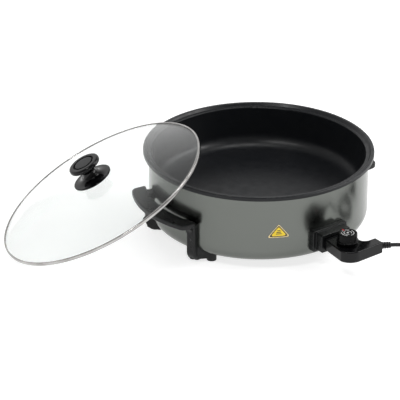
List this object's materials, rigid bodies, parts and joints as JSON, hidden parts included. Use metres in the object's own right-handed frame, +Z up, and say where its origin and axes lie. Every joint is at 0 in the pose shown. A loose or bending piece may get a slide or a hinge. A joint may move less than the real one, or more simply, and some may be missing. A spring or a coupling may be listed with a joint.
{
  "type": "electric griddle pan",
  "caption": "Round electric party pan with a non-stick inner pan in a metal housing, side handles, a domed glass lid leaning beside it and a plug-in dial control with its lead.",
  "frame": {"origin": "on the table under the pan's axis", "axes": "+Z up along the pan's axis; +X to the right, away from the leaning lid; +Y away from the side with the control and label"},
  "size_m": [0.8442, 0.4864, 0.1913],
  "materials": {
    "nonstick": "pressed aluminium under a dark non-stick coat with a fine grain",
    "housing_paint": "satin metallic grey paint",
    "phenolic": "black phenolic moulding, slightly mottled",
    "gloss_black": "gloss black moulding",
    "inlay": "matt grained disc",
    "glass": "clear tempered glass",
    "steel": "bright stainless steel",
    "nickel": "nickel plated",
    "cast_aluminium": "as cast",
    "steatite": "white steatite, unglazed",
    "switch_body": "moulded switch block",
    "seal": "soft black silicone",
    "cord_sheath": "smooth black sheath",
    "tie": "woven hook-and-loop strap",
    "label": "printed yellow film with a dark border",
    "pointer": "red inlay"
  },
  "bodies": {
    "base": {"inner_pan": "nonstick", "outer_housing": "housing_paint", "heating_element": "steel", "element_clips": "steel", "heat_reflector": "steel", "centre_stud": "steel", "stud_spacers": "steel", "stud_nut": "steel", "terminal_plate": "steel", "terminal_insulators": "steatite", "terminal_pins": "nickel", "earth_strip": "steel", "probe_block": "cast_aluminium", "terminal_guard": "phenolic", "guard_screws": "steel", "hot_label": "label", "handle_left": "phenolic", "handle_right": "phenolic", "handle_screws": "steel", "foot_pads": "seal"},
    "lid": {"lid_glass": "glass", "lid_band": "steel", "knob_seals": "seal", "knob_base": "phenolic", "knob_grip": "phenolic", "knob_cap": "gloss_black", "knob_inlay": "inlay", "knob_screw": "steel"},
    "control": {"control_upper_shell": "gloss_black", "control_lower_shell": "gloss_black", "control_screws": "steel", "contact_sleeves": "nickel", "temperature_probe": "steel", "thermostat_switch": "switch_body", "strain_relief": "cord_sheath", "cord": "cord_sheath", "cord_coil": "cord_sheath", "cord_tail": "cord_sheath", "cord_tie": "tie", "mains_plug": "gloss_black", "plug_pins": "nickel"},
    "dial": {"dial_knob": "gloss_black", "dial_shaft": "steel", "dial_pointer": "pointer"}
  },
  "joints": [
    {"name": "lid_lift", "type": "slide", "parent": "base", "child": "lid", "axis": [0, 0, 1], "range_m": [0, 0.25]},
    {"name": "control_pull", "type": "slide", "parent": "base", "child": "control", "axis": [0.5948, -0.8039, 0], "range_m": [0, 0.085]},
    {"name": "dial_turn", "type": "hinge", "parent": "control", "child": "dial", "pos_m": [0.15165, -0.20998, 0.072], "axis": [0, 0, 1], "range_deg": [0, 270]}
  ]
}
